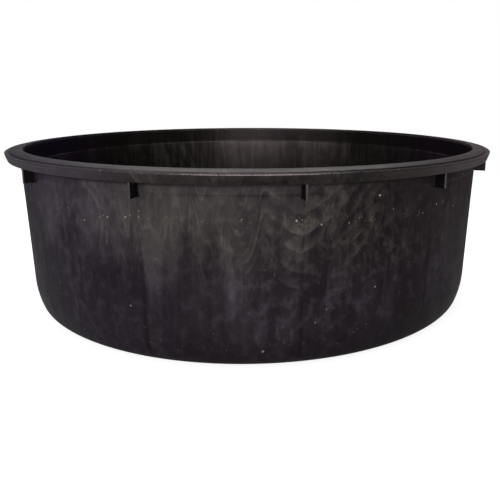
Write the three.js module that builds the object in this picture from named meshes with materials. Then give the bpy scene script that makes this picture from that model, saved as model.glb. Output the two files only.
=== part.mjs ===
// Mortar mixing tub: a wide, low, round tub of black recycled polyethylene.
// The tub is moulded in one shot, so the model holds its moulded regions as separate solids
// that meet face to face: the base, the foot it stands on, the heel, the side wall, the collar,
// the three parts of the rim and the gussets that stiffen the rim from below.
//
// Millimetres, +Z up. The origin is on the ground under the centre of the tub, the front is -Y,
// and azimuths count from the front towards +X.

import * as THREE from 'three';

// ---- driving dimensions -------------------------------------------------------------------

const RIM_RADIUS = 490;          // outermost radius of the tub, at the rim's bead
const HEIGHT = 308;              // ground to the crest of the rim
const WALL = 6;                  // thickness of the base, heel, wall and collar

const WALL_RADIUS = 463.1;       // outside of the wall at the foot of the collar
const WALL_DRAFT = 2.35;         // degrees that the wall leans in towards the base

// Outside, the heel is two arcs: a tight one off the base, then a slow one up into the wall.
const HEEL_LOW_RADIUS = 20;
const HEEL_TOP_RADIUS = 147;
const HEEL_TURN = 70;            // degrees from the base to where the arcs meet

const FOOT_WIDTH = 30;           // radial width of the flat ring the tub stands on
const FOOT_LIFT = 3;             // how far the base panel is lifted off the ground

const STEP_DROP = 36;            // crest to the foot of the collar
const STEP_OUT = 1.5;            // how far the collar stands out from the wall

const FLANGE_THICKNESS = 4.5;
const FLANGE_FALL = 3.8;         // fall of the flange's top from the crest to the groove
const CREST_ROUND = 3;           // rounding of the rim's inner edge
const UNDER_ROUND = 2;           // fillet between the collar and the underside of the flange

const BEAD_WIDTH = 6.5;          // the rounded outer edge of the rim
const BEAD_ROUND = 3;            // rounding of the bead's outer top edge
const BEAD_TUCK = 0.5;           // how far the bead draws in below its rounding
const BEAD_DROP = 10.5;          // crest to the joint between the bead and the skirt
const GROOVE_DEPTH = 1;          // groove between the flange's top and the bead
const SKIRT_DROP = 19.9;         // crest to the lower edge of the skirt
const SKIRT_THICKNESS = 4;
const SKIRT_DRAFT = 4.2;         // how far the rim's face draws in down to the skirt's edge

const GUSSET_COUNT = 12;
const GUSSET_AZIMUTH = 9;        // degrees, the first gusset to the right of the front
const GUSSET_THICKNESS = 4;
const GUSSET_DROP = 44.4;        // crest to the level lower edge of a gusset
const GUSSET_INSET = 5.9;        // rim's outermost radius to the gusset's outer edge
const GAP = 0.3;                 // clearance of a gusset from the faces around it

const SEGMENTS = 72;             // facets around the tub, a multiple of GUSSET_COUNT
const ARC_STEPS = 6;             // facets in a quarter of a round

const COLOUR = {
  base: 0x2b292c, heel: 0x343136, wall: 0x3b383b, collar: 0x393639,
  flange: 0x5c585b, bead: 0x6e6a6d, skirt: 0x302d30, gusset: 0x262427,
};

// ---- shared helpers -----------------------------------------------------------------------

// Points of a circular arc, degrees anticlockwise from +radius towards +z, both ends included.
function arc(centreR, centreZ, radius, fromDeg, toDeg, steps = ARC_STEPS) {
  const points = [];
  for (let i = 0; i <= steps; i += 1) {
    const angle = THREE.MathUtils.degToRad(fromDeg + ((toDeg - fromDeg) * i) / steps);
    points.push([centreR + radius * Math.cos(angle), centreZ + radius * Math.sin(angle)]);
  }
  return points;
}

function plastic(colour, roughness) {
  return new THREE.MeshStandardMaterial({ color: colour, roughness, metalness: 0 });
}

// A ring or disc turned about +Z from a closed outline of [radius, z] points, anticlockwise.
// A facet is centred on every gusset's azimuth.
function turned(name, outline, material) {
  const profile = [...outline, outline[0]].map(([r, z]) => new THREE.Vector2(r, z));
  const facetAngle = (2 * Math.PI) / SEGMENTS;
  const start = THREE.MathUtils.degToRad(GUSSET_AZIMUTH) + facetAngle / 2;
  const geometry = new THREE.LatheGeometry(profile, SEGMENTS, start, 2 * Math.PI);
  geometry.rotateX(Math.PI / 2);
  const mesh = new THREE.Mesh(geometry, material);
  mesh.name = name;
  return mesh;
}

// ---- levels and radii that several regions share ------------------------------------------

const stepZ = HEIGHT - STEP_DROP;
const collarOut = WALL_RADIUS + STEP_OUT;
const collarIn = collarOut - WALL;

const beadInR = RIM_RADIUS - BEAD_WIDTH;
const beadOutR = RIM_RADIUS - BEAD_TUCK;
const beadLowZ = HEIGHT - BEAD_DROP;
const skirtLowR = beadOutR - SKIRT_DRAFT;
const skirtLowZ = HEIGHT - SKIRT_DROP;

const grooveZ = HEIGHT - FLANGE_FALL - GROOVE_DEPTH;
const underFlangeR = collarOut + UNDER_ROUND;
const underFlangeZ = HEIGHT - FLANGE_THICKNESS;
const flangeEdgeLowZ = underFlangeZ - FLANGE_FALL;
const collarTopZ = underFlangeZ - UNDER_ROUND;

const faceSlope = SKIRT_DRAFT / (flangeEdgeLowZ - skirtLowZ);
const skirtTopR = skirtLowR + faceSlope * (beadLowZ - skirtLowZ);

// The heel's arcs, found by working down from the wall's line.
const draft = THREE.MathUtils.degToRad(WALL_DRAFT);
const turn = THREE.MathUtils.degToRad(HEEL_TURN);
const heelTurnZ = HEEL_LOW_RADIUS * (1 - Math.cos(turn));
const heelTopZ = heelTurnZ + HEEL_TOP_RADIUS * (Math.cos(turn) - Math.sin(draft));
const heelTopR = WALL_RADIUS - Math.tan(draft) * (stepZ - heelTopZ);
const heelTurnR = heelTopR - HEEL_TOP_RADIUS * (Math.cos(draft) - Math.sin(turn));
const heelInR = heelTurnR - HEEL_LOW_RADIUS * Math.sin(turn);
const footInR = heelInR - FOOT_WIDTH;

// ---- base ---------------------------------------------------------------------------------

function floorPanel() {
  const outline = [
    [0, FOOT_LIFT],
    [footInR, FOOT_LIFT],
    [footInR, FOOT_LIFT + WALL],
    [0, FOOT_LIFT + WALL],
  ];
  return turned('floor_panel', outline, plastic(COLOUR.base, 0.62));
}

// The flat ring under the edge of the base, stepped down from the floor panel.
function footRing() {
  const outline = [
    [footInR, 0],
    [heelInR, 0],
    [heelInR, WALL],
    [footInR + FOOT_LIFT, WALL],
    [footInR, FOOT_LIFT + WALL],
  ];
  return turned('foot_ring', outline, plastic(COLOUR.base, 0.6));
}

function heel() {
  const turnDeg = HEEL_TURN - 90;
  const topCentreR = heelTurnR - HEEL_TOP_RADIUS * Math.sin(turn);
  const topCentreZ = heelTurnZ + HEEL_TOP_RADIUS * Math.cos(turn);
  const lowArc = (radius, from, to) => arc(heelInR, HEEL_LOW_RADIUS, radius, from, to);
  const topArc = (radius, from, to) => arc(topCentreR, topCentreZ, radius, from, to, 3);
  const outline = [
    ...lowArc(HEEL_LOW_RADIUS, -90, turnDeg),
    ...topArc(HEEL_TOP_RADIUS, turnDeg, -WALL_DRAFT).slice(1),
    [heelTopR - WALL, heelTopZ],
    ...topArc(HEEL_TOP_RADIUS - WALL, -WALL_DRAFT, turnDeg).slice(1),
    ...lowArc(HEEL_LOW_RADIUS - WALL, turnDeg, -90).slice(1),
  ];
  return turned('heel', outline, plastic(COLOUR.heel, 0.56));
}

// ---- wall ---------------------------------------------------------------------------------

function sideWall() {
  const outline = [
    [heelTopR, heelTopZ],
    [WALL_RADIUS, stepZ],
    [WALL_RADIUS - WALL, stepZ],
    [heelTopR - WALL, heelTopZ],
  ];
  return turned('side_wall', outline, plastic(COLOUR.wall, 0.55));
}

// The collar stands out from the wall by a small step, the same outside and inside.
function wallCollar() {
  const outline = [
    [WALL_RADIUS, stepZ],
    [collarOut, stepZ + STEP_OUT],
    [collarOut, collarTopZ],
    [collarIn, collarTopZ],
    [collarIn, stepZ + STEP_OUT],
    [WALL_RADIUS - WALL, stepZ],
  ];
  return turned('wall_collar', outline, plastic(COLOUR.collar, 0.55));
}

// ---- rim ----------------------------------------------------------------------------------

// The flange turns out of the collar and falls gently to a shallow groove beside the bead.
function rimFlange() {
  const fallAngle = THREE.MathUtils.radToDeg(Math.atan2(FLANGE_FALL, beadInR - collarIn));
  const crestR = collarIn + CREST_ROUND;
  const outline = [
    [collarOut, collarTopZ],
    [underFlangeR, underFlangeZ],
    [beadInR, flangeEdgeLowZ],
    [beadInR, grooveZ],
    [beadInR - 2 * GROOVE_DEPTH, grooveZ + GROOVE_DEPTH],
    ...arc(crestR, HEIGHT - CREST_ROUND, CREST_ROUND, 90 - fallAngle, 180),
    [collarIn, collarTopZ],
  ];
  return turned('rim_flange', outline, plastic(COLOUR.flange, 0.5));
}

// The bead closes the flange's outer edge and turns down into the skirt.
function rimBead() {
  const roundR = RIM_RADIUS - BEAD_ROUND;
  const roundZ = HEIGHT - FLANGE_FALL - BEAD_ROUND;
  const outline = [
    [beadInR, flangeEdgeLowZ],
    [beadOutR - SKIRT_THICKNESS, flangeEdgeLowZ],
    [skirtTopR - SKIRT_THICKNESS, beadLowZ],
    [skirtTopR, beadLowZ],
    [beadOutR, flangeEdgeLowZ],
    ...arc(roundR, roundZ, BEAD_ROUND, 0, 90, 4),
    [beadInR, grooveZ],
  ];
  return turned('rim_bead', outline, plastic(COLOUR.bead, 0.45));
}

function rimSkirt() {
  const outline = [
    [skirtTopR - SKIRT_THICKNESS, beadLowZ],
    [skirtLowR - SKIRT_THICKNESS, skirtLowZ],
    [skirtLowR, skirtLowZ],
    [skirtTopR, beadLowZ],
  ];
  return turned('rim_skirt', outline, plastic(COLOUR.skirt, 0.55));
}

// ---- gussets ------------------------------------------------------------------------------

// A radial plate that fills the channel under the flange from the collar to the skirt, and
// hangs below the skirt with its outer edge almost flush with it. The faces around it are flat
// facets, which lie a little inside their ring's radius.
function gussetOutline() {
  const facet = Math.cos(Math.PI / SEGMENTS);
  const besideWall = (r) => r * facet + GAP;
  const besideSkirt = (skirtLowR - SKIRT_THICKNESS) * facet - GAP;
  const outerR = RIM_RADIUS - GUSSET_INSET;
  const lowZ = HEIGHT - GUSSET_DROP;
  const fall = (underFlangeZ - flangeEdgeLowZ) / (beadInR - underFlangeR);
  return [
    [besideWall(WALL_RADIUS), lowZ],
    [outerR, lowZ],
    [outerR, skirtLowZ - GAP],
    [besideSkirt, skirtLowZ - GAP],
    [besideSkirt, underFlangeZ - fall * (besideSkirt - underFlangeR) - 2 * GAP],
    [underFlangeR, underFlangeZ - 2 * GAP],
    [besideWall(collarOut), underFlangeZ - UNDER_ROUND - 2 * GAP],
    [besideWall(collarOut), stepZ],
    [besideWall(WALL_RADIUS), stepZ - STEP_OUT],
  ];
}

function gusset(index, outline) {
  const shape = new THREE.Shape(outline.map(([r, z]) => new THREE.Vector2(r, z)));
  const geometry = new THREE.ExtrudeGeometry(shape, {
    depth: GUSSET_THICKNESS, bevelEnabled: false, steps: 1,
  });
  geometry.translate(0, 0, -GUSSET_THICKNESS / 2);
  geometry.rotateX(Math.PI / 2);
  const mesh = new THREE.Mesh(geometry, plastic(COLOUR.gusset, 0.6));
  mesh.name = `gusset_${String(index + 1).padStart(2, '0')}`;
  const azimuth = GUSSET_AZIMUTH + (360 / GUSSET_COUNT) * index;
  mesh.rotation.z = THREE.MathUtils.degToRad(azimuth - 90);
  return mesh;
}

// ---- assembly -----------------------------------------------------------------------------

const tub = new THREE.Group();
tub.name = 'mortar_mixing_tub';
tub.add(floorPanel(), footRing(), heel(), sideWall(), wallCollar());
tub.add(rimFlange(), rimBead(), rimSkirt());

const outline = gussetOutline();
for (let i = 0; i < GUSSET_COUNT; i += 1) tub.add(gusset(i, outline));

export default tub;
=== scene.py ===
"""Looks of a round mortar mixing tub of black recycled polyethylene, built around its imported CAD.

The tub is one moulding, so its skin is one surface: a fine outline turned about +Z, with the
mould's small faults in it. It is cut into closed pieces where the CAD nodes meet, and each piece
keeps the whole skin's normals, so no joint shows. Metres, +Z up, the front is -Y, and azimuths
count from the front towards +X.
"""

import math

import bpy
import numpy as np
from mathutils import Matrix, Vector


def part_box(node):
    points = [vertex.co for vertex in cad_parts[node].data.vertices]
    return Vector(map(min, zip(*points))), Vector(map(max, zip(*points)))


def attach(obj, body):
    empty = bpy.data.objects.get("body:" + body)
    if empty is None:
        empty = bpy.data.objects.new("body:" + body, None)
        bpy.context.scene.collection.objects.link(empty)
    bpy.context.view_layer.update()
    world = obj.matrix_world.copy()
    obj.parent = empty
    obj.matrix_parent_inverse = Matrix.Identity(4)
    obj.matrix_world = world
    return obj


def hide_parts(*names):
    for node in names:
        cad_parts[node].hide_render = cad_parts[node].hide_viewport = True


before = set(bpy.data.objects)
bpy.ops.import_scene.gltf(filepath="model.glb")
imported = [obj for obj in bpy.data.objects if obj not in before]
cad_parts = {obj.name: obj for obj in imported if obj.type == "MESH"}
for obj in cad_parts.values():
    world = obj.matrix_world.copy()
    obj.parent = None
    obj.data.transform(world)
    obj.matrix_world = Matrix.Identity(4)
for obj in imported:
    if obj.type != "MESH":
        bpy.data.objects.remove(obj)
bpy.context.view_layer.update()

MM = 0.001

# ---- sizes, from the CAD nodes --------------------------------------------------------------

SAME_LEVEL = 0.02 * MM


def node_points(node):
    """A CAD node's vertices, one row each."""
    return np.array([v.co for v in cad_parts[node].data.vertices])


def radii(node, z=None):
    """Smallest and largest distance from the axis of a node's vertices, at one level if given."""
    points = node_points(node)
    if z is not None:
        points = points[np.abs(points[:, 2] - z) < SAME_LEVEL]
    r = np.hypot(points[:, 0], points[:, 1])
    return float(r.min()), float(r.max())


def levels(node):
    """A node's lowest and highest level."""
    low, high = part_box(node)
    return low[2], high[2]


def azimuth_of(node):
    """The azimuth of the middle of a node's vertices."""
    x, y, _ = node_points(node).mean(0)
    return math.atan2(x, -y)


FLOOR_LOW, FLOOR_TOP = levels("floor_panel")
HEEL_LOW, HEEL_TOP = levels("heel")
STEP_Z = levels("side_wall")[1]
COLLAR_TOP = levels("wall_collar")[1]
FLANGE_LOW, CREST_Z = levels("rim_flange")
JOINT_Z, BEAD_TOP = levels("rim_bead")
SKIRT_LOW = levels("rim_skirt")[0]

FOOT_IN = radii("foot_ring")[0]
HEEL_IN = radii("heel", HEEL_LOW)[1]
HEEL_TOP_IN, HEEL_TOP_OUT = radii("heel", HEEL_TOP)
WALL_IN, WALL_OUT = radii("side_wall", STEP_Z)
COLLAR_IN, COLLAR_OUT = radii("wall_collar", COLLAR_TOP)
BEAD_IN = radii("rim_flange", FLANGE_LOW)[1]
RIM_OUT = radii("rim_bead")[1]
SKIRT_TOP_IN, SKIRT_TOP_OUT = radii("rim_skirt", JOINT_Z)
SKIRT_IN, SKIRT_OUT = radii("rim_skirt", SKIRT_LOW)


def groove_level():
    """The lowest point of the flange's top, beside the bead."""
    points = node_points("rim_flange")
    beside_bead = np.hypot(points[:, 0], points[:, 1]) > BEAD_IN - 0.5 * MM
    on_top = points[:, 2] > FLANGE_LOW + 1 * MM
    return float(points[beside_bead & on_top, 2].min())


GROOVE_Z = groove_level()
WALL = WALL_OUT - WALL_IN
STEP = COLLAR_OUT - WALL_OUT
DRAFT = math.atan2(WALL_OUT - HEEL_TOP_OUT, STEP_Z - HEEL_TOP)

GUSSETS = sorted(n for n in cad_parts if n.startswith("gusset_"))
GUSSET_AZIMUTHS = [azimuth_of(n) for n in GUSSETS]
GUSSET_OUT = radii(GUSSETS[0])[1]
GUSSET_PITCH = 2 * math.pi / len(GUSSETS)

# the heel's two arcs: the low one off the base, the slow one up into the wall
HEEL_TURN = math.radians(70)
HEEL_LOW_RADIUS = 20 * MM
HEEL_TOP_RADIUS = (HEEL_TOP - HEEL_LOW_RADIUS * (1 - math.cos(HEEL_TURN))) / (
    math.cos(HEEL_TURN) - math.sin(DRAFT)
)

# ---- small shapes that the CAD leaves out ---------------------------------------------------

# the step outside, small and soft, starts below the collar's node
OUT_STEP_Z = STEP_Z - 3.4 * MM
OUT_STEP_TALL = 2.3 * MM
OUT_STEP = 0.45 * STEP
# the ledge inside, with a slight flare of the wall below it and a slight draft above it
LEDGE_Z = STEP_Z - 2.6 * MM
LEDGE_TALL = 1.8 * MM
FLARE = 0.22 * MM
FLARE_TALL = 18 * MM
COLLAR_DRAFT = 0.1 * MM
# arcs in the corners of the foot, where the flange leaves the collar, and of the skirt
FOOT_ROUND = 1.2 * MM
FOOT_TOP_ROUND = 3 * MM
FLANGE_FILLET = 2 * MM
SKIRT_ROOT = 0.8 * MM
SKIRT_ROUND = 1.1 * MM
# the groove: how much deeper than in the CAD, and how far out and in its bottom goes from where
# the bead and the flange meet
GROOVE_CUT = 1.2 * MM
GROOVE_OUT = 1.0 * MM
GROOVE_BACK = 2.3 * MM
# the bead's outer corner above the flange's underside, its top corner out from that meeting and
# up from the groove, and its arcs from outside to inside
BEAD_SIDE = 2.4 * MM
BEAD_TOP_OUT = 2.6 * MM
BEAD_TOP_UP = 0.95 * MM
BEAD_ROUNDS = [0.6 * MM, 1.0 * MM, 0.4 * MM]
# the flange's edge in from that meeting and up from the groove, its crest, and its arcs
FLANGE_EDGE_BACK = 2.7 * MM
FLANGE_EDGE_UP = 2.0 * MM
CREST_DROP = 0.1 * MM
FLANGE_ROUNDS = [0.5 * MM, 0.35 * MM, 1.2 * MM]
# the floor's rows stop this far from the axis, and a fan of triangles fills the middle
FLOOR_CENTRE = 6 * MM

# ---- outline of the skin --------------------------------------------------------------------


def line(a, b, steps):
    """Points from a to b, both ends included."""
    t = np.linspace(0, 1, steps + 1)[:, None]
    return (np.array(a) * (1 - t) + np.array(b) * t).tolist()


def arc(centre, radius, start, end, steps):
    """Points of an arc, degrees anticlockwise from +r towards +z, both ends included."""
    t = np.radians(np.linspace(start, end, steps + 1))
    return np.stack([centre[0] + radius * np.cos(t), centre[1] + radius * np.sin(t)], 1).tolist()


def rounded(points, radius, steps=4):
    """The same outline with each corner between its ends replaced by an arc that touches both
    sides. radius is one number, or one for each such corner."""
    points = [np.array(p, float) for p in points]
    if np.isscalar(radius):
        radius = [radius] * (len(points) - 2)
    longest = 0.49  # of a side, so that two arcs never meet
    out = [points[0].tolist()]
    for before, at, after, r in zip(points, points[1:], points[2:], radius):
        a, b = before - at, after - at
        length_a, length_b = np.linalg.norm(a), np.linalg.norm(b)
        a, b = a / length_a, b / length_b
        half = math.acos(float(np.clip(a @ b, -1, 1))) / 2
        back = min(r / math.tan(half), longest * length_a, longest * length_b)
        r = back * math.tan(half)
        centre = at + (a + b) / np.linalg.norm(a + b) * (r / math.sin(half))
        p, q = at + a * back - centre, at + b * back - centre
        turn = math.atan2(p[0] * q[1] - p[1] * q[0], p @ q)
        for t in np.linspace(0, turn, steps + 1):
            c, s = math.cos(t), math.sin(t)
            out.append((centre + np.array([c * p[0] - s * p[1], s * p[0] + c * p[1]])).tolist())
    return out + [points[-1].tolist()]


def foot_under():
    """Down round the foot ring's edge, and level out to the heel."""
    corners = [(FOOT_IN, FLOOR_LOW), (FOOT_IN, HEEL_LOW), (HEEL_IN, HEEL_LOW)]
    return rounded(corners, FOOT_ROUND)


def foot_over():
    """In from the heel, and up a small slope to the floor."""
    level = HEEL_LOW + WALL
    corners = [(HEEL_IN, level), (FOOT_IN + FLOOR_TOP - level, level), (FOOT_IN, FLOOR_TOP)]
    return rounded(corners, FOOT_TOP_ROUND)


def heel_arcs(inset, steps_low, steps_top):
    """The heel's outside line, or the parallel one inset by the wall's thickness."""
    turn = math.degrees(HEEL_TURN) - 90
    low_c = (HEEL_IN, HEEL_LOW + HEEL_LOW_RADIUS)
    top_c = (
        HEEL_TOP_OUT - HEEL_TOP_RADIUS * math.cos(DRAFT),
        HEEL_TOP + HEEL_TOP_RADIUS * math.sin(DRAFT),
    )
    low = arc(low_c, HEEL_LOW_RADIUS - inset, -90, turn, steps_low)
    top = arc(top_c, HEEL_TOP_RADIUS - inset, turn, -math.degrees(DRAFT), steps_top)
    return low + top[1:]


def wall_line(top_r, low_r, z):
    """The drafted wall's radius at some heights."""
    return low_r + (top_r - low_r) * (np.asarray(z) - HEEL_TOP) / (STEP_Z - HEEL_TOP)


def outer_wall():
    """The wall's outside line, with the small soft step just below the collar."""
    low = np.linspace(HEEL_TOP, OUT_STEP_Z, 40)
    t = np.linspace(0, 1, 9)
    z = np.concatenate([low, OUT_STEP_Z + OUT_STEP_TALL * t[1:], [STEP_Z]])
    t = np.concatenate([low * 0, t[1:], [1]])
    r = wall_line(WALL_OUT, HEEL_TOP_OUT, z) + OUT_STEP * t * t * (3 - 2 * t)
    return np.stack([r, z], 1).tolist()


def inner_wall():
    """The wall's inside line, flaring out to a ledge below the collar."""
    end = LEDGE_Z - LEDGE_TALL
    start = end - FLARE_TALL
    z = np.concatenate([np.linspace(HEEL_TOP, start, 34), np.linspace(start, end, 14)[1:]])
    flare = FLARE * np.clip((z - start) / FLARE_TALL, 0, 1) ** 2
    r = wall_line(WALL_IN, HEEL_TOP_IN, z) + flare
    ledge = line((r[-1], end), (COLLAR_IN - 2 * COLLAR_DRAFT, LEDGE_Z), 3)[1:]
    upper = line(ledge[-1], (COLLAR_IN - COLLAR_DRAFT, STEP_Z), 5)[1:]
    return np.stack([r, z], 1).tolist() + ledge + upper


def flange_under():
    """Out of the collar through a fillet, and on to the bead."""
    fall = math.atan2(CREST_Z - GROOVE_Z - 1 * MM, BEAD_IN - COLLAR_IN)
    centre = (COLLAR_OUT + FLANGE_FILLET, COLLAR_TOP)
    fillet = arc(centre, FLANGE_FILLET, 180, 90 + math.degrees(fall) * 0.5, 5)
    return fillet + [(BEAD_IN, FLANGE_LOW)]


def bead_under():
    """Level under the bead, and down to the skirt's inside."""
    corner = (SKIRT_TOP_IN + SKIRT_ROOT, FLANGE_LOW)
    return rounded([(BEAD_IN, FLANGE_LOW), corner, (SKIRT_TOP_IN, JOINT_Z)], SKIRT_ROOT)


def skirt_line():
    """Down the skirt's inside, round its lower edge and up its outside."""
    edge = [(SKIRT_IN, SKIRT_LOW), (SKIRT_OUT, SKIRT_LOW)]
    return rounded([(SKIRT_TOP_IN, JOINT_Z), *edge, (SKIRT_TOP_OUT, JOINT_Z)], SKIRT_ROUND, 5)


def bead_over():
    """Up the bead's side, over its top and down into the groove."""
    corners = [
        (SKIRT_TOP_OUT, JOINT_Z),
        (RIM_OUT, FLANGE_LOW + BEAD_SIDE),
        (BEAD_IN + BEAD_TOP_OUT, GROOVE_Z + BEAD_TOP_UP),
        (BEAD_IN + GROOVE_OUT, GROOVE_Z - GROOVE_CUT),
        (BEAD_IN, GROOVE_Z - GROOVE_CUT),
    ]
    return rounded(corners, BEAD_ROUNDS, 6)


def flange_over():
    """Up out of the groove, along the flange to its crest and down to the collar."""
    corners = [
        (BEAD_IN, GROOVE_Z - GROOVE_CUT),
        (BEAD_IN - GROOVE_BACK, GROOVE_Z - GROOVE_CUT),
        (BEAD_IN - FLANGE_EDGE_BACK, GROOVE_Z + FLANGE_EDGE_UP),
        (COLLAR_IN, CREST_Z - CREST_DROP),
        (COLLAR_IN, COLLAR_TOP),
    ]
    return rounded(corners, FLANGE_ROUNDS, 6)


# Each run is (piece, its points); consecutive runs share an end. The path goes out along the
# underside, up the outside, over the rim and down the inside, with the plastic on its left.
RUNS = [
    ("floor", line((FLOOR_CENTRE, FLOOR_LOW), (FOOT_IN, FLOOR_LOW), 24)),
    ("foot", foot_under()),
    ("heel", heel_arcs(0, 14, 18)),
    ("wall", outer_wall()),
    ("collar", line((WALL_OUT + OUT_STEP, STEP_Z), (COLLAR_OUT, COLLAR_TOP), 8)),
    ("flange", flange_under()),
    ("bead", bead_under()),
    ("skirt", skirt_line()),
    ("bead", bead_over()),
    ("flange", flange_over()),
    ("collar", line((COLLAR_IN, COLLAR_TOP), (COLLAR_IN - COLLAR_DRAFT, STEP_Z), 8)),
    ("wall", inner_wall()[::-1]),
    ("heel", heel_arcs(WALL, 10, 14)[::-1]),
    ("foot", foot_over()),
    ("floor", line((FOOT_IN, FLOOR_TOP), (FLOOR_CENTRE, FLOOR_TOP), 24)),
]

# the name of each run's piece, and the CAD node it stands for
PIECES = {
    "floor": ("tub_floor", "floor_panel"),
    "foot": ("tub_foot", "foot_ring"),
    "heel": ("tub_heel", "heel"),
    "wall": ("tub_wall", "side_wall"),
    "collar": ("tub_collar", "wall_collar"),
    "flange": ("rim_top", "rim_flange"),
    "bead": ("rim_edge", "rim_bead"),
    "skirt": ("rim_lip", "rim_skirt"),
}

# ---- azimuths -------------------------------------------------------------------------------

NICKS = [  # azimuth and depth of the small cuts in the bead, degrees and metres
    (-26.0, 0.9 * MM),
    (-5.4, 0.7 * MM),
    (63.0, 0.5 * MM),
    (118.0, 0.8 * MM),
    (-141.0, 0.6 * MM),
]
EVEN_STEPS = 360
# finer steps across a parting mark and across a nick, in degrees from its middle
MARK_OFFSETS = (-0.3, -0.17, -0.08, 0, 0.08, 0.17, 0.3)
NICK_OFFSETS = (-0.36, -0.24, -0.12, 0, 0.12, 0.24, 0.36)
# an even step nearer than this to a finer one, in degrees, is left out
TOO_NEAR = 0.28


def wrapped(angle):
    """The same angle between -180 and 180 degrees, in radians."""
    return (angle + math.pi) % (2 * math.pi) - math.pi


def azimuth_list():
    """Even steps round the tub, with finer ones at the mould's parting marks and the nicks."""
    even = np.arange(EVEN_STEPS) * 2 * math.pi / EVEN_STEPS - math.pi
    fine = [g + math.radians(d) for g in GUSSET_AZIMUTHS for d in MARK_OFFSETS]
    fine += [math.radians(a + d) for a, _ in NICKS for d in NICK_OFFSETS]
    fine = wrapped(np.array(fine))
    gap = np.abs(wrapped(even[:, None] - fine[None, :]))
    even = even[gap.min(1) > math.radians(TOO_NEAR)]
    return np.unique(np.round(np.concatenate([even, fine]), 7))


AZIMUTHS = azimuth_list()

# ---- the mould's small faults ---------------------------------------------------------------

WALL_WAVE = 0.22 * MM
RIM_WAVE = 0.18 * MM
RIM_WAVE_TURN = 1.3
MARK_TALL = 0.28 * MM
MARK_WIDE = 0.9 * MM
MARK_LOWEST = 10 * MM
MARK_FADE_LOW = (8 * MM, 28 * MM)
MARK_FADE_HIGH = (STEP_Z - 2 * MM, STEP_Z + 10 * MM)
NICK_WIDE = 1.6 * MM
NICK_DROP = 0.6  # how far a nick lowers the bead, as a part of its depth
WAVE_COUNTS = (2, 3, 5, 7, 11, 16, 23)
MOST_TILT = 9  # of a wave, in radians per metre of height
FADE_TILT = 5  # of the fade that each wave has, in the same units


def random_waves():
    """How often each wave goes round, its two phases, its tilt and its size."""
    rng = np.random.default_rng(41)
    turn = 2 * math.pi
    waves = []
    for count in WAVE_COUNTS:
        phases = rng.uniform(0, turn), rng.uniform(0, turn)
        waves.append((count, *phases, rng.uniform(-MOST_TILT, MOST_TILT), 1 / count**0.7))
    return waves


WAVES = random_waves()


def out_of_round(azimuth, z):
    """A sum of waves round the tub, between -2 and 2 or so, that change with height."""
    total = 0
    for count, phase, fade_phase, tilt, size in WAVES:
        fade = 0.6 + 0.4 * np.sin(FADE_TILT * z + fade_phase)
        total = total + size * np.sin(count * azimuth + phase + tilt * z) * fade
    return total


def rise(z, low, high):
    """0 below low, 1 above high, and straight between them."""
    return np.clip((z - low) / (high - low), 0, 1)


def parting_marks(azimuth, z):
    """How far the thin upright ridges below the gussets stand out of the wall."""
    fade = rise(z, *MARK_FADE_LOW) * (1 - rise(z, *MARK_FADE_HIGH))
    total = 0
    for gusset in GUSSET_AZIMUTHS:
        away = wrapped(azimuth - gusset) * WALL_OUT
        total = total + MARK_TALL * np.exp(-((away / MARK_WIDE) ** 2)) * fade
    return total


def nick_cuts(azimuth, z):
    """How deep the nicks cut into the rim, deepest at its top."""
    high = rise(z, SKIRT_LOW, BEAD_TOP) ** 2
    total = 0
    for degrees, depth in NICKS:
        away = wrapped(azimuth - math.radians(degrees)) * RIM_OUT
        total = total + depth * np.exp(-((away / NICK_WIDE) ** 2)) * high
    return total


def faults(azimuth, r, z, outside):
    """Displaced radius and height of skin points."""
    dr = WALL_WAVE * out_of_round(azimuth, z) * rise(z, HEEL_LOW_RADIUS, STEP_Z)
    dz = RIM_WAVE * out_of_round(azimuth + RIM_WAVE_TURN, 0 * z) * rise(z, STEP_Z, CREST_Z)
    on_wall = outside & (z > MARK_LOWEST) & (z < STEP_Z)
    dr = dr + np.where(on_wall, parting_marks(azimuth, z), 0)
    on_rim = (r > BEAD_IN + 0.5 * MM) & (z > SKIRT_LOW - 1 * MM)
    cuts = np.where(on_rim, nick_cuts(azimuth, z), 0)
    return r + dr - cuts, z + dz - NICK_DROP * cuts


# ---- building the skin ----------------------------------------------------------------------

LARGEST_GAP = 0.3 * MM  # between the end of one run and the start of the next


def outline_rows():
    """All runs' points in one list, and the first and last row of each run."""
    rows, spans = [], []
    for name, points in RUNS:
        points = [tuple(p) for p in points]
        start = max(len(rows) - 1, 0)
        if rows and math.dist(rows[-1], points[0]) > LARGEST_GAP:
            raise ValueError(f"outline breaks at {name}: {rows[-1]} {points[0]}")
        rows += points[1:] if rows else points
        spans.append((name, start, len(rows) - 1))
    return np.array(rows), spans


def skin():
    """Rows of points along the whole outline, the runs' rows, and the normals at each point."""
    outline, spans = outline_rows()
    crest = int(outline[:, 1].argmax())
    outside = np.arange(len(outline))[:, None] < crest
    r, z = faults(AZIMUTHS[None, :], outline[:, :1], outline[:, 1:], outside)
    points = np.stack([r * np.sin(AZIMUTHS), -r * np.cos(AZIMUTHS), z + 0 * r], 2)
    around = np.roll(points, -1, 1) - np.roll(points, 1, 1)
    step = np.linalg.norm(points[1:] - points[:-1], axis=2, keepdims=True)
    ahead = (points[1:] - points[:-1]) / np.maximum(step, 1e-9)
    # weigh the two sides of a point by how near they are, so short arcs keep their own turn
    along = np.empty_like(points)
    along[1:-1] = ahead[1:] * step[:-1] + ahead[:-1] * step[1:]
    along[0], along[-1] = ahead[0], ahead[-1]
    normals = np.cross(around, along)
    normals /= np.linalg.norm(normals, axis=2, keepdims=True)
    return points, spans, normals


def ring_faces(row, next_row):
    """The quads between two rows of a piece."""
    count = len(AZIMUTHS)
    k = np.arange(count)
    k1 = (k + 1) % count
    a, b = row * count + k, row * count + k1
    c, d = next_row * count + k1, next_row * count + k
    return np.stack([a, b, c, d], 1).tolist()


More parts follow.
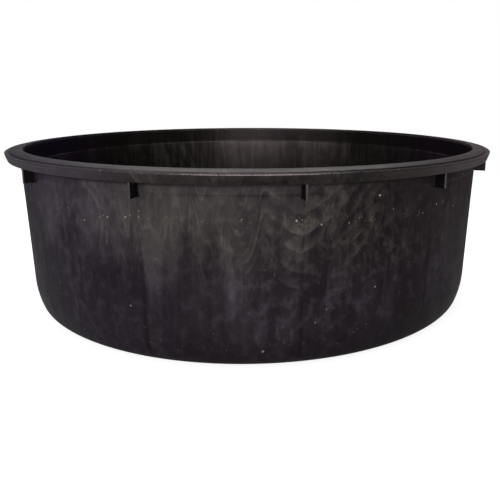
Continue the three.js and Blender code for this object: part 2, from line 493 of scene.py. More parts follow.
def centre_fan(row, centre, facing_down):
    """The triangles between a row and its centre vertex."""
    count = len(AZIMUTHS)
    k = np.arange(count)
    fan = np.stack([np.full(count, centre), row * count + (k + 1) % count, row * count + k], 1)
    return (fan if facing_down else fan[:, ::-1]).tolist()


def linked(name, mesh):
    """A new object of the scene with this mesh."""
    obj = bpy.data.objects.new(name, mesh)
    bpy.context.scene.collection.objects.link(obj)
    return obj


def closed_piece(name, strips, skin_points, skin_normals, materials, filled=False):
    """A closed mesh from one or two strips of the skin's rows, with flat faces between the
    strips' ends. A filled piece has fans to its centre instead between its last row and its
    first. Faces up to the first strip's end take the first material, and the rest the last."""
    count = len(AZIMUTHS)
    rows = [row for first, last in strips for row in range(first, last + 1)]
    verts = skin_points[rows].reshape(-1, 3)
    normals = skin_normals[rows].reshape(-1, 3)
    strip_ends = np.cumsum([last - first + 1 for first, last in strips]) - 1
    end = len(rows) - 1
    faces, flat = [], []
    for row in range(end if filled else end + 1):
        faces += ring_faces(row, (row + 1) % len(rows))
        flat += [row in strip_ends] * count
    if filled:
        for row, facing_down in ((0, True), (end, False)):
            centre = verts[row * count : (row + 1) * count].mean(0)
            centre[:2] = 0
            verts = np.vstack([verts, centre])
            normals = np.vstack([normals, [0, 0, -1 if facing_down else 1]])
            faces += centre_fan(row, len(verts) - 1, facing_down)
            flat += [False] * count
    mesh = bpy.data.meshes.new(name)
    mesh.from_pydata(verts.tolist(), [], faces)
    mesh.validate(clean_customdata=False)
    mesh.polygons.foreach_set("use_smooth", [True] * len(mesh.polygons))
    split = []
    for face in mesh.polygons:
        own = tuple(face.normal)
        split += [own if flat[face.index] else tuple(normals[v]) for v in face.vertices]
    mesh.normals_split_custom_set(split)
    for material in materials:
        mesh.materials.append(material)
    second = (strip_ends[0] + 1) * count
    for face in mesh.polygons:
        face.material_index = int(len(materials) > 1 and face.index >= second)
    return linked(name, mesh)


# ---- gussets --------------------------------------------------------------------------------

GUSSET_HALF = 2 * MM
GUSSET_SHARP = math.radians(50)  # edges that turn more than this aren't shaded smooth
GUSSET_EDGE_ROUND = 1.3 * MM
GUSSET_FLARE = 2.6 * MM
GUSSET_SUNK = 0.7 * MM  # into the wall
GUSSET_INTO_SKIRT = 0.8 * MM
GUSSET_INTO_FLANGE = 2.6 * MM
FLANGE_FLARE_UP = 1.5 * MM  # where the flare at the rim ends, above the flange's underside
# heights above its lower edge, in millimetres: the rows across the rounded edge, and the first
# and last of the even ones between it and the skirt
GUSSET_LOW_ROWS = (0, 0.12, 0.3, 0.55, 1.0, 1.7)
GUSSET_FREE = (3, 23.4)
# where the columns stand from the wall to the outer edge, closer together at both
GUSSET_COLUMNS = np.concatenate(
    [np.linspace(0, 0.3, 9), np.linspace(0.36, 0.82, 6), [0.88, 0.93, 0.965, 0.985, 1]]
)


def gusset_root(z):
    """The radius of the wall and the collar, where a gusset stands on them."""
    if z >= COLLAR_TOP:
        return COLLAR_OUT
    wall = wall_line(WALL_OUT, HEEL_TOP_OUT, min(max(z, HEEL_TOP), STEP_Z))
    return float(wall + STEP * rise(z, STEP_Z, COLLAR_TOP))


def gusset_edge(z):
    """A gusset's outer edge: upright below the skirt, and inside the skirt and the bead above."""
    if z <= SKIRT_LOW + 0.4 * MM:
        return GUSSET_OUT
    t = (z - SKIRT_LOW) / (JOINT_Z - SKIRT_LOW)
    in_skirt = SKIRT_IN + (SKIRT_TOP_IN - SKIRT_IN) * t + GUSSET_INTO_SKIRT
    return min(in_skirt, BEAD_IN + 0.5 * MM)


def gusset_half(r, z, low_z):
    """Half a gusset's thickness, less at its free edges and more at the wall and the rim."""
    half = GUSSET_HALF
    to_edge = gusset_edge(z) - r if z <= SKIRT_LOW else math.inf
    free = min(z - low_z, to_edge)
    if free < GUSSET_EDGE_ROUND:
        side = GUSSET_EDGE_ROUND - free
        half += math.sqrt(max(GUSSET_EDGE_ROUND**2 - side**2, 0)) - GUSSET_EDGE_ROUND
    for away in (r - gusset_root(z), FLANGE_LOW + FLANGE_FLARE_UP - z):
        if away < GUSSET_FLARE:
            side = GUSSET_FLARE - max(away, 0)
            half += GUSSET_FLARE - math.sqrt(max(GUSSET_FLARE**2 - side**2, 0))
    return min(half, GUSSET_HALF + GUSSET_FLARE)


def plate_faces(n, m):
    """The quads of a closed plate: two sides of n rows by m columns, and the four edges."""

    def at(side, row, column):
        return side * n * m + row * m + column

    faces = []
    for i in range(n - 1):
        for j in range(m - 1):
            faces.append((at(0, i, j), at(0, i + 1, j), at(0, i + 1, j + 1), at(0, i, j + 1)))
            faces.append((at(1, i, j), at(1, i, j + 1), at(1, i + 1, j + 1), at(1, i + 1, j)))
    top, end = n - 1, m - 1
    for i in range(n - 1):
        faces.append((at(0, i, 0), at(1, i, 0), at(1, i + 1, 0), at(0, i + 1, 0)))
        faces.append((at(0, i, end), at(0, i + 1, end), at(1, i + 1, end), at(1, i, end)))
    for j in range(m - 1):
        faces.append((at(0, 0, j), at(0, 0, j + 1), at(1, 0, j + 1), at(1, 0, j)))
        faces.append((at(0, top, j), at(1, top, j), at(1, top, j + 1), at(0, top, j + 1)))
    return faces


def gusset_piece(name, node, azimuth, material):
    """A radial plate with rounded free edges and a root that flares into the wall and the rim."""
    low_z = levels(node)[0]
    free = np.concatenate([GUSSET_LOW_ROWS, np.linspace(*GUSSET_FREE, 9)]) * MM + low_z
    hidden = np.linspace(SKIRT_LOW + 0.5 * MM, FLANGE_LOW + GUSSET_INTO_FLANGE, 8)
    heights = np.concatenate([free, hidden])
    verts = []
    for side in (1, -1):
        for z in heights:
            root = gusset_root(z) - GUSSET_SUNK
            edge = gusset_edge(z)
            for t in GUSSET_COLUMNS:
                r = root + (edge - root) * t
                verts.append((side * gusset_half(r, z, low_z), -r, z))
    mesh = bpy.data.meshes.new(name)
    mesh.from_pydata(verts, [], plate_faces(len(heights), len(GUSSET_COLUMNS)))
    mesh.transform(Matrix.Rotation(azimuth, 4, "Z"))
    mesh.polygons.foreach_set("use_smooth", [True] * len(mesh.polygons))
    mesh.set_sharp_from_angle(angle=GUSSET_SHARP)
    mesh.materials.append(material)
    return linked(name, mesh)


# ---- nodes ----------------------------------------------------------------------------------


class Nodes:
    """Short ways to add and join a material's nodes."""

    def __init__(self, tree):
        self.tree = tree

    def add(self, kind, inputs=None, **settings):
        node = self.tree.nodes.new(kind)
        for key, value in settings.items():
            setattr(node, key, value)
        for key, value in (inputs or {}).items():
            self.put(node.inputs[key], value)
        return node

    def put(self, socket, value):
        if isinstance(value, bpy.types.NodeSocket):
            self.tree.links.new(value, socket)
        else:
            socket.default_value = value

    def math(self, operation, a, b=0.0, clamp=False):
        node = self.add("ShaderNodeMath", {0: a, 1: b}, operation=operation, use_clamp=clamp)
        return node.outputs[0]

    def plus(self, first, *others):
        for other in others:
            first = self.math("ADD", first, other)
        return first

    def minus(self, a, b):
        return self.math("SUBTRACT", a, b)

    def times(self, first, *others):
        for other in others:
            first = self.math("MULTIPLY", first, other)
        return first

    def size(self, value):
        """A value without its sign."""
        return self.math("ABSOLUTE", value)

    def vector(self, operation, a, b=(0, 0, 0)):
        return self.add("ShaderNodeVectorMath", {0: a, 1: b}, operation=operation).outputs

    def ramp(self, value, low, high, to_low=0.0, to_high=1.0, smooth=True):
        """to_low up to low, to_high from high on, and an even or smooth change between them."""
        node = self.add(
            "ShaderNodeMapRange",
            {"Value": value, "From Min": low, "From Max": high, "To Min": to_low, "To Max": to_high},
            interpolation_type="SMOOTHSTEP" if smooth else "LINEAR",
        )
        return node.outputs[0]

    def noise(self, vector, scale, detail=3.0, roughness=0.55, distortion=0.0):
        names = ("Vector", "Scale", "Detail", "Roughness", "Distortion")
        values = (vector, scale, detail, roughness, distortion)
        return self.add("ShaderNodeTexNoise", dict(zip(names, values))).outputs[0]

    def scaled_z(self, vector, by):
        return self.add("ShaderNodeMapping", {"Vector": vector, "Scale": (1, 1, by)}).outputs[0]

    def stretched(self, vector, scale, by, *settings):
        """Noise with z scaled: its marks stand upright below 1, and lie level above it."""
        return self.noise(self.scaled_z(vector, by), scale, *settings)

    def cells(self, vector, scale):
        """Voronoi cells: the distance from each one's middle, and its random colour's parts."""
        inputs = {"Vector": vector, "Scale": scale, "Randomness": 1.0}
        node = self.add("ShaderNodeTexVoronoi", inputs)
        chance = self.add("ShaderNodeSeparateColor", {0: node.outputs["Color"]})
        return node.outputs["Distance"], chance.outputs

    def bump(self, height, strength, distance, normal=None):
        inputs = {"Height": height, "Strength": strength, "Distance": distance}
        if normal is not None:
            inputs["Normal"] = normal
        return self.add("ShaderNodeBump", inputs).outputs[0]

    def mix(self, factor, a, b):
        node = self.add("ShaderNodeMix", data_type="RGBA")
        for key, value in ((0, factor), (6, a), (7, b)):
            self.put(node.inputs[key], value)
        return node.outputs[2]


def empty_tree(holder):
    """The cleared node tree of a material or a world."""
    holder.use_nodes = True
    holder.node_tree.nodes.clear()
    return Nodes(holder.node_tree)


def rgb(r, g, b):
    return (r, g, b, 1)


# ---- recycled plastic -----------------------------------------------------------------------

# the black plastic and the smoke in it, by where on the tub they are
BLACK_LEFT = rgb(0.0085, 0.0036, 0.0148)
BLACK_MIDDLE = rgb(0.0072, 0.0045, 0.0062)
BLACK_RIGHT = rgb(0.0130, 0.0036, 0.0085)
BLACK_RIGHT_INSIDE = rgb(0.0080, 0.0045, 0.0095)
BLACK_BACK = rgb(0.0075, 0.0055, 0.0055)
SMOKE_LEFT = rgb(0.125, 0.105, 0.134)
SMOKE_MIDDLE = rgb(0.130, 0.119, 0.101)
SMOKE_RIGHT = rgb(0.130, 0.098, 0.110)
SMOKE_LOW = rgb(0.112, 0.097, 0.124)
SMOKE_BACK = rgb(0.128, 0.116, 0.104)
# the gussets' painted shade under the rim, and the paler colour of their outer edges
GUSSET_SHADE = rgb(0.002, 0.002, 0.002)
EDGE_PALE = rgb(0.200, 0.185, 0.175)
PARTING_BLACK = rgb(0.001, 0.001, 0.001)
CRUMB = rgb(0.30, 0.27, 0.20)
FLECK = rgb(0.46, 0.40, 0.29)
SPOT = rgb(0.62, 0.57, 0.47)
SCUFF = rgb(0.11, 0.10, 0.095)

# stretches of the wall with their own smoke: the middle's azimuth, and how far from it the
# stretch starts and ends fading, in degrees
FRONT = (-7, 17, 43)
LEFT_OF_FRONT = (-27, 15, 33)
RIGHT_OF_FRONT = (11, 8, 14)
# radii between which the base's look gives way to the wall's, and how far behind the middle the
# front's look gives way to the back's
HEEL_FADE = (0.34, 0.42)
BACK_FADE = (0.10, 0.30)
# the painted shade below the skirt: from here up the smoke fades out, so the wall looks shaded by
# the rim
SKIRT_SHADE_FADE = (SKIRT_LOW - 9 * MM, SKIRT_LOW - 4.5 * MM)
FOLDS_PER_METRE = 34.0
FLECK_BAND_Z = 0.236
FLECKS_SHOWING = {"outside": 1.0, "inside": 0.2}
ROUGHNESS_SPREAD = {"outside": 0.035, "inside": 0.02}
PEEL_STRENGTH = {"outside": 0.3, "inside": 0.05}
COLLAR_GLOSS = 0.36  # inside, above the ledge

SPOTS = [  # the largest flecks in the outside wall: azimuth, height and radius
    (24.2, 262 * MM, 3.4 * MM),
    (7.8, 232 * MM, 3.0 * MM),
    (-34.0, 219 * MM, 2.6 * MM),
    (24.4, 117 * MM, 2.6 * MM),
    (14.0, 92 * MM, 1.8 * MM),
    (96.0, 214 * MM, 2.8 * MM),
    (141.0, 158 * MM, 2.2 * MM),
    (-112.0, 236 * MM, 3.0 * MM),
]


class Place:
    """Where a shaded point is in the part's own frame, and the noises that many marks share.
    It is the same for every piece, so the looks run on from one to the next."""

    def __init__(self, n):
        self.n = n
        self.at = n.add("ShaderNodeTexCoord").outputs["Object"]
        self.x, self.y, self.z = n.add("ShaderNodeSeparateXYZ", {0: self.at}).outputs
        self.side = n.size(self.x)
        self.azimuth = n.math("ARCTAN2", self.x, n.times(self.y, -1.0))
        flat = n.add("ShaderNodeCombineXYZ", {0: self.x, 1: self.y}).outputs[0]
        self.radius = n.vector("LENGTH", flat)["Value"]
        # how far round the tub a point is from the nearest gusset, in metres
        turned = n.plus(self.azimuth, -GUSSET_AZIMUTHS[0] + GUSSET_PITCH / 2 + 2 * math.pi)
        off = n.minus(n.math("MODULO", turned, GUSSET_PITCH), GUSSET_PITCH / 2)
        self.beside = n.times(n.size(off), self.radius)
        self.drift = n.stretched(self.at, 7.0, 0.5, 3, 0.55)
        self.cloud = n.ramp(n.stretched(self.at, 5.0, 0.8, 3, 0.55), 0.36, 0.66)
        self.mottle = n.ramp(n.stretched(self.at, 60, 0.9, 3, 0.65), 0.44, 0.70)

    def near(self, degrees, inner, outer):
        """1 round one azimuth, fading to 0 between two distances from it, all in degrees."""
        off = self.n.size(self.n.minus(self.azimuth, math.radians(degrees)))
        return self.n.ramp(off, math.radians(inner), math.radians(outer), 1.0, 0.0)


def folds(n, p):
    """Torn level lines of smoke that sag below the front gusset and some others and hang in
    lobes elsewhere, each with a sharp lower edge that fades upwards."""
    sag = n.times(n.math("POWER", n.times(p.beside, 25.0), 1.4), 0.025)
    lobe = n.times(n.size(n.minus(n.stretched(p.at, 13.0, 0.10, 2, 0.5), 0.5)), 0.95)
    sagging = n.ramp(n.noise(p.at, 3.0, 1, 0.5), 0.52, 0.6)
    by_gusset = n.math("MAXIMUM", p.near(*RIGHT_OF_FRONT), sagging)
    by_gusset = n.times(by_gusset, n.ramp(p.radius, *HEEL_FADE))
    lift = n.minus(n.times(lobe, n.minus(1.0, by_gusset)), n.times(sag, by_gusset))
    wander = n.times(p.drift, n.ramp(by_gusset, 0.0, 1.0, 0.10, 0.03))
    # up the wall, and on from there in towards the middle of the floor
    reach = n.plus(p.z, n.minus(p.radius, WALL_OUT))
    phase = n.times(n.plus(reach, wander, lift), -FOLDS_PER_METRE)
    phase = n.plus(phase, n.times(n.noise(p.at, 11.0, 3, 0.6), 1.3))
    number = {"W": n.math("FLOOR", phase)}
    which = n.add("ShaderNodeTexWhiteNoise", number, noise_dimensions="1D").outputs["Value"]
    phase = n.math("FRACT", phase)
    fold = n.math("POWER", n.ramp(phase, 0.0, 0.86, smooth=False), 2.2)
    fold = n.times(fold, n.ramp(phase, 0.88, 1.0, 1.0, 0.0))
    fold = n.times(fold, n.ramp(which, 0.0, 1.0, 0.15, 1.0))
    fold = n.times(fold, n.ramp(n.stretched(p.at, 17.0, 0.45, 4, 0.6), 0.40, 0.62))
    return n.times(fold, n.ramp(p.x, -0.34, -0.12, 0.35, 1.0))


def flames(n, p):
    """Smoke drawn out upright: its soft bright edges, and its bodies."""
    warp = n.times(n.noise(p.at, 9.0, 2, 0.5), 0.06)
    warped = n.vector("ADD", n.scaled_z(p.at, 0.26), warp)["Vector"]
    flame = n.noise(warped, 24, 4, 0.62, 0.25)
    edge = n.ramp(n.size(n.minus(flame, 0.53)), 0.0, 0.045, 1.0, 0.0)
    return edge, n.ramp(flame, 0.47, 0.70)


def streaks(n, p):
    """Thin upright streaks."""
    return n.ramp(n.stretched(p.at, 105, 0.06, 3, 0.6), 0.46, 0.74)


def tongue_height(n, p):
    """Height, shifted up and down by tongues of smoke that are longest at the front."""
    tongue = n.minus(n.stretched(p.at, 15, 0.12, 2, 0.6), 0.5)
    return n.plus(p.z, n.times(tongue, n.ramp(p.side, 0.10, 0.30, 0.55, 0.25)))


def fine_marks(n, p):
    """Streaks, mottling and patches all over, least in the heel and in its right corner."""
    spots = n.times(p.mottle, n.ramp(p.side, 0.15, 0.40, 0.30, 0.16))
    patch = n.ramp(n.stretched(p.at, 15, 0.6, 3, 0.6, 0.5), 0.44, 0.66)
    fine = n.plus(n.times(streaks(n, p), 0.14), spots, n.times(patch, 0.12))
    fine = n.times(fine, n.ramp(p.cloud, 0.0, 1.0, 0.6, 1.2), n.ramp(p.z, 0.0, 0.09, 0.6, 1.0))
    corner = n.times(n.ramp(p.x, 0.05, 0.25), n.ramp(p.z, 0.03, 0.09, 1.0, 0.0))
    return n.times(fine, n.minus(1.0, n.times(corner, 0.7)))


def outside_smoke(n, p):
    """Folds and flames in the upper wall, most of all at the front, a haze to the left of it,
    and fine marks all over."""
    edge, body = flames(n, p)
    height = tongue_height(n, p)
    front = n.times(p.near(*FRONT), n.ramp(p.radius, *HEEL_FADE))
    much = n.plus(n.times(front, 0.52), n.times(p.cloud, 0.38))
    much = n.times(much, n.ramp(p.x, -0.15, 0.1, 1.05, 0.86))
    smoke = n.plus(n.times(folds(n, p), 1.05), n.times(edge, 0.30), n.times(body, 0.34))
    smoke = n.times(smoke, n.times(n.ramp(height, 0.095, 0.235, 0.10, 1.0), much))
    haze = n.times(n.ramp(height, 0.15, 0.24), n.ramp(p.z, 0.235, 0.30, 1.0, 0.5))
    haze = n.times(haze, p.near(*LEFT_OF_FRONT), 0.34)
    return n.plus(smoke, haze, fine_marks(n, p))


def inside_smoke(n, p):
    """Streaks and soft flames, less of them in the collar, and fewer at the sides as painted shade.
    """
    body = flames(n, p)[1]
    fine = n.plus(n.times(streaks(n, p), 0.30), n.times(p.cloud, 0.05))
    smoke = n.times(n.plus(n.times(body, 0.28), fine), n.ramp(p.cloud, 0.0, 1.0, 0.7, 1.1))
    collar = n.ramp(p.z, LEDGE_Z, STEP_Z, 1.0, 0.25)
    # painted shade: fewer pale marks at the sides, so the inside walls there look darker
    return n.times(smoke, n.times(collar, n.ramp(p.side, 0.20, 0.40, 1.0, 0.35)))


def painted_rim_sheen(n, p):
    """Painted sheen: paler plastic at the sides of the skirt and the bead, and at the rim's right
    end.
    """
    sides = n.times(n.ramp(p.side, 0.08, 0.46), n.ramp(p.x, -0.45, 0.45, 0.36, 0.82))
    sides = n.times(sides, n.ramp(p.z, JOINT_Z, BEAD_TOP, 1.0, 0.0))
    return n.math("MAXIMUM", sides, n.ramp(p.x, 0.32, 0.47, 0.0, 0.24))


def plastic_colour(n, p, pale, inside):
    """The black plastic and its smoke: violet at the left, warmer in the middle, reddish at the
    right and neutral at the back."""
    back = n.ramp(p.y, *BACK_FADE)
    black = n.mix(n.ramp(p.x, -0.43, 0.0), BLACK_LEFT, BLACK_MIDDLE)
    right = BLACK_RIGHT_INSIDE if inside else BLACK_RIGHT
    black = n.mix(back, n.mix(n.ramp(p.x, 0.22, 0.41), black, right), BLACK_BACK)
    smoke = n.mix(n.ramp(p.x, -0.33, -0.09), SMOKE_LEFT, SMOKE_MIDDLE)
    smoke = n.mix(n.ramp(p.x, 0.18, 0.36), smoke, SMOKE_RIGHT)
    smoke = n.mix(n.ramp(p.z, 0.10, 0.21), SMOKE_LOW, smoke)
    return n.mix(pale, black, n.mix(back, smoke, SMOKE_BACK))


def gusset_shade_and_pale_edges(n, p, colour):
    """Gussets darkened as painted shade under the rim, with paler outer edges in places."""
    pale_edge = n.ramp(p.radius, GUSSET_OUT - 1.8 * MM, GUSSET_OUT - 0.5 * MM)
    pale_edge = n.times(pale_edge, n.ramp(n.noise(p.at, 4.0, 1, 0.5), 0.42, 0.52, 0.3, 1.0))
    # painted shade: the gusset's colour is taken most of the way to near black, as in the shade
    # under the rim
    return n.mix(n.times(pale_edge, 0.8), n.mix(0.85, colour, GUSSET_SHADE), EDGE_PALE)


def parting_lines(n, p, colour):
    """The mould's parting marks: a soft dark line down from each gusset."""
    line = n.ramp(n.size(n.minus(p.beside, 0.6 * MM)), 0.4 * MM, 5.0 * MM, 1.0, 0.0)
    below = n.times(n.ramp(p.z, 0.004, 0.03), n.ramp(p.z, 0.08, 0.26, 1.0, 0.25))
    line = n.times(line, n.times(below, n.ramp(p.mottle, 0.0, 1.0, 0.9, 0.3)))
    return n.mix(line, colour, PARTING_BLACK)


def flecks(n, p, colour, showing):
    """Pale flecks of other plastic, most of them in a band round the upper wall, with crumbs
    of it round them."""
    off = n.size(n.minus(n.plus(p.z, n.times(p.drift, 0.014)), FLECK_BAND_Z))
    distance, chance = n.cells(p.at, 140.0)
    rare = n.math("GREATER_THAN", chance[0], n.ramp(off, 0.002, 0.014, 0.66, 0.993))
    size = n.times(n.math("POWER", chance[1], 3.0), 0.14)
    dot = n.ramp(n.minus(distance, size), 0.09, 0.16, 1.0, 0.0, smooth=False)
    distance, chance = n.cells(p.at, 420.0)
    clump = n.ramp(n.noise(p.at, 30.0, 2, 0.6), 0.52, 0.66)
    clump = n.times(clump, n.ramp(off, 0.003, 0.014, 0.75, 0.025))
    crumb = n.times(n.math("LESS_THAN", chance[0], clump), n.ramp(distance, 0.2, 0.45, 1.0, 0.0))
    colour = n.mix(n.times(crumb, 0.65 * showing), colour, CRUMB)
    return n.mix(n.times(n.times(rare, dot), 0.8 * showing), colour, FLECK)


def largest_flecks(n, p, colour):
    """The largest flecks in the wall, which have ragged edges."""
    ragged = n.times(n.noise(p.at, 300, 2, 0.5), 3 * MM)
    covered = 0.0
    for degrees, height, size in SPOTS:
        a = math.radians(degrees)
        r = float(wall_line(WALL_OUT, HEEL_TOP_OUT, height))
        away = n.vector("DISTANCE", p.at, (r * math.sin(a), -r * math.cos(a), height))["Value"]
        one = n.ramp(n.plus(away, ragged), size * 0.8, size * 1.3, 1.0, 0.0)
        covered = n.plus(covered, one)
    return n.mix(n.times(covered, 0.9), colour, SPOT)


def scuffs(n, p, colour, scuff):
    """Fine level scratches, where the tub is dragged and stacked."""
    scratch = n.ramp(n.stretched(p.at, 60, 6.0, 4, 0.7, 1.2), 0.58, 0.74)
    return n.mix(n.times(scratch, scuff), colour, SCUFF)


def inside_gloss(n, p, gloss):
    """Duller in the collar and at the sides, and dullest on the ledge there."""
    collar = n.ramp(p.z, LEDGE_Z - 1 * MM, LEDGE_Z + 1 * MM, gloss, COLLAR_GLOSS)
    from_ledge = n.size(n.minus(p.z, LEDGE_Z - LEDGE_TALL / 2))
    dull = n.ramp(from_ledge, 1.2 * MM, 2.6 * MM, 0.85, 0.3)
    return n.times(collar, n.minus(1.0, n.times(n.ramp(p.side, 0.15, 0.35), dull)))


def relief(n, p, peel_strength):
    """The normal with orange peel, upright drag marks and slow waves of the wall."""
    peel = n.bump(n.noise(p.at, 420, 2, 0.5), peel_strength, 0.4 * MM)
    drag = n.bump(n.stretched(p.at, 120, 0.05, 3, 0.6), 0.5, 0.8 * MM, peel)
    return n.bump(n.stretched(p.at, 14, 0.5, 2, 0.5), 0.35, 4 * MM, drag)


def recycled_plastic(
    name,
    tint,
    roughness,
    scuff,
    smoky,
    under=1.0,
    gloss=0.5,
    inside=False,
    spotted=False,
    gusset_shade_pale_edges=False,
    rim_sheen=False,
):
    """Black recycled polyethylene with smoke and pale flecks of other plastic in it. smoky is
    how much smoke there is, and under how much of that is left in the painted shade that starts
    just below the skirt."""
    surface = "inside" if inside else "outside"
    material = bpy.data.materials.new(name)
    n = empty_tree(material)
    p = Place(n)
    pale = inside_smoke(n, p) if inside else outside_smoke(n, p)
    pale = n.math("MULTIPLY", pale, smoky, clamp=True)
    # painted shade: from just below the skirt upwards the smoke is cut to under, so the wall there
    # looks shaded by the rim
    pale = n.times(pale, n.ramp(p.z, *SKIRT_SHADE_FADE, 1.0, under))
    # painted sheen: paler colour at the rim's sides and right end, where the surroundings reflect at
    # a grazing angle
    if rim_sheen:
        pale = n.plus(pale, painted_rim_sheen(n, p))
    colour = plastic_colour(n, p, pale, inside)
    # painted shade on the gussets, and their paler outer edges
    if gusset_shade_pale_edges:
        colour = gusset_shade_and_pale_edges(n, p, colour)
    colour = parting_lines(n, p, colour)
    colour = flecks(n, p, colour, FLECKS_SHOWING[surface])
    if spotted:
        colour = largest_flecks(n, p, colour)
    colour = scuffs(n, p, colour, scuff)
    spread = ROUGHNESS_SPREAD[surface]
    rough = n.ramp(n.noise(p.at, 26, 3, 0.6), 0.3, 0.7, roughness - spread, roughness + spread)
    inputs = {
        "Base Color": colour,
        "Roughness": n.minus(rough, n.times(pale, 0.05)),
        "IOR": 1.5,
        "Specular IOR Level": inside_gloss(n, p, gloss) if inside else gloss,
        "Specular Tint": tint,
        "Normal": relief(n, p, PEEL_STRENGTH[surface]),
    }
    shader = n.add("ShaderNodeBsdfPrincipled", inputs)
    n.add("ShaderNodeOutputMaterial", {"Surface": shader.outputs[0]})
    return material


OUTSIDE_TINT = rgb(1.0, 0.79, 0.92)
INSIDE_TINT = rgb(1.0, 0.80, 0.84)
RIM_TINT = rgb(1.0, 0.83, 0.86)
MATERIALS = {
    "wall": recycled_plastic(
        "recycled_pe_wall", OUTSIDE_TINT, 0.44, scuff=0.05, smoky=0.97, under=0.3, spotted=True
    ),
    "inside": recycled_plastic(
        "recycled_pe_inside", INSIDE_TINT, 0.30, scuff=0.04, smoky=1.05, under=0.9, inside=True
    ),
    "rim": recycled_plastic(
        "recycled_pe_rim", RIM_TINT, 0.42, scuff=0.16, smoky=0.45, rim_sheen=True
    ),
    "bead": recycled_plastic(
        "recycled_pe_bead", RIM_TINT, 0.21, scuff=0.10, smoky=0.45, gloss=0.70, rim_sheen=True
    ),
    "gusset": recycled_plastic(
        "recycled_pe_gusset", RIM_TINT, 0.46, scuff=0.06, smoky=0.2, under=0.9, gloss=0.3, gusset_shade_pale_edges=True
    ),
    "base": recycled_plastic("recycled_pe_base", OUTSIDE_TINT, 0.52, scuff=0.20, smoky=0.8),
}
USES = {
    "floor": ["base", "inside"],
    "foot": ["base", "inside"],
    "heel": ["wall", "inside"],
    "wall": ["wall", "inside"],
    "collar": ["wall", "inside"],
    "flange": ["rim"],
    "bead": ["bead"],
    "skirt": ["rim"],
}

# ---- pieces ---------------------------------------------------------------------------------


def belongs(piece, node):
    """Rides a piece on the part's one body, in its node's place."""
    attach(piece, "root")
    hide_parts(node)


points, spans, skin_normals = skin()
for key, (piece_name, node) in PIECES.items():
    strips = [(first, last) for name, first, last in spans if name == key]
    finish = [MATERIALS[use] for use in USES[key]]
    filled = key == "floor"
    piece = closed_piece(piece_name, strips, points, skin_normals, finish, filled)
    belongs(piece, node)

for number, (node, azimuth) in enumerate(zip(GUSSETS, GUSSET_AZIMUTHS), start=1):
    piece = gusset_piece(f"rim_gusset_{number:02d}", node, azimuth, MATERIALS["gusset"])
    belongs(piece, node)

# ---- stage, light and camera ----------------------------------------------------------------

STAGE_RADIUS = 2.6
STAGE_FADE = (0.62, 0.9 * STAGE_RADIUS)
STAGE_DROP = 0.5 * MM
WHITE = rgb(1, 1, 1)
AIM = (0, 0, 0.2)
LIGHTS = {  # place, width and height in metres, and watts
    "front_low": ((0, -4, 0.9), 3.0, 1.0, 48),
    "front_left": ((-3, -3, 1.3), 2.0, 1.5, 23),
    "overhead": ((0, 0, 3.5), 2.0, 2.0, 56),
    "back_high": ((0, 4, 3.0), 3.4, 1.4, 20),
}
# the fitted camera: millimetres, parts of the frame's width, metres and radians
SENSOR, LENS = 36, 40.59
SHIFT = (-0.0598, -0.0952)
CAMERA_BACK = 1.2391
CAMERA_ABOVE_RIM = 0.1035
PITCH, YAW, ROLL = 0.1924, 0.0496, 0.0029

scene = bpy.context.scene
scene.view_settings.view_transform = "Standard"


def stage_material():
    """Pale and slightly glowing, fading out towards the disc's edge."""
    material = bpy.data.materials.new("stage_floor")
    n = empty_tree(material)
    place = n.add("ShaderNodeTexCoord").outputs["Object"]
    away = n.vector("LENGTH", place)["Value"]
    matt = n.add("ShaderNodeBsdfDiffuse", {"Color": rgb(0.9, 0.9, 0.9)})
    glow = n.add("ShaderNodeEmission", {"Color": WHITE, "Strength": 0.8})
    pale = n.add("ShaderNodeAddShader", {0: matt.outputs[0], 1: glow.outputs[0]})
    clear = n.add("ShaderNodeBsdfTransparent")
    shaders = {0: n.ramp(away, *STAGE_FADE), 1: pale.outputs[0], 2: clear.outputs[0]}
    mixed = n.add("ShaderNodeMixShader", shaders)
    n.add("ShaderNodeOutputMaterial", {"Surface": mixed.outputs[0]})
    return material


def stage_floor():
    """A pale disc that fades out to the white surroundings at its edge."""
    mesh = bpy.data.meshes.new("stage_floor")
    rim = [
        (STAGE_RADIUS * math.cos(a), STAGE_RADIUS * math.sin(a), 0)
        for a in np.linspace(0, 2 * math.pi, 96, endpoint=False)
    ]
    mesh.from_pydata(rim, [], [tuple(range(len(rim)))])
    mesh.materials.append(stage_material())
    floor = linked("stage_floor", mesh)
    floor.location.z = -STAGE_DROP
    floor.visible_diffuse = False
    floor.visible_glossy = False


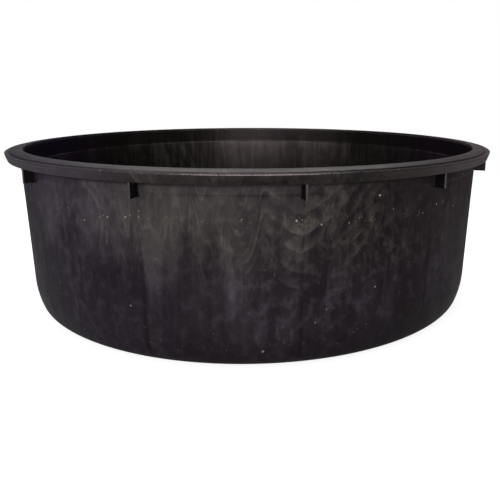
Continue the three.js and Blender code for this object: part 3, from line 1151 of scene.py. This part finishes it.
def soft_light(name, at, width, height, watts):
    """A rectangular light that faces the tub."""
    data = bpy.data.lights.new(name, "AREA")
    data.shape = "RECTANGLE"
    data.size, data.size_y, data.energy = width, height, watts
    light = linked(name, data)
    light.location = at
    light.rotation_euler = (Vector(AIM) - Vector(at)).to_track_quat("-Z", "Y").to_euler()


def studio_world():
    """White to the camera, and to everything else a dim grey that is brightest some way below
    the horizon, as if from a pale ground, and a little less so at the sides."""
    world = bpy.data.worlds.new("studio")
    n = empty_tree(world)
    way = n.add("ShaderNodeTexCoord").outputs["Generated"]
    side, _, up = n.add("ShaderNodeSeparateXYZ", {0: way}).outputs
    below = n.times(n.ramp(up, -0.38, 0.0, 0.32, 0.0), n.ramp(up, -0.8, -0.3, 0.5, 1.0))
    below = n.times(below, n.ramp(side, 0.1, 0.8, 1.0, 0.65), n.ramp(side, -0.8, -0.2, 0.85, 1.0))
    above = n.times(n.ramp(up, -0.2, 0.1), n.ramp(up, 0.1, 0.6, 0.15, 0.20))
    ambient = n.add("ShaderNodeBackground", {"Color": WHITE, "Strength": n.plus(below, above)})
    white = n.add("ShaderNodeBackground", {"Color": WHITE, "Strength": 1.0})
    seen = n.add("ShaderNodeLightPath").outputs["Is Camera Ray"]
    mixed = n.add("ShaderNodeMixShader", {0: seen, 1: ambient.outputs[0], 2: white.outputs[0]})
    n.add("ShaderNodeOutputWorld", {"Surface": mixed.outputs[0]})
    scene.world = world


def fitted_camera():
    """A camera that stands where the photograph was taken from."""
    data = bpy.data.cameras.new("camera")
    data.sensor_width = SENSOR
    data.lens = LENS
    data.shift_x, data.shift_y = SHIFT
    data.dof.use_dof = False
    camera = linked("camera", data)
    camera.location = (0, -CAMERA_BACK, CREST_Z + CAMERA_ABOVE_RIM)
    turn = Matrix.Rotation(-YAW, 3, "Z")
    tilt = Matrix.Rotation(math.pi / 2 - PITCH, 3, "X")
    roll = Matrix.Rotation(ROLL, 3, "Z")
    camera.rotation_euler = (turn @ tilt @ roll).to_euler()
    scene.camera = camera


stage_floor()
studio_world()
for light_name, settings in LIGHTS.items():
    soft_light(light_name, *settings)
fitted_camera()
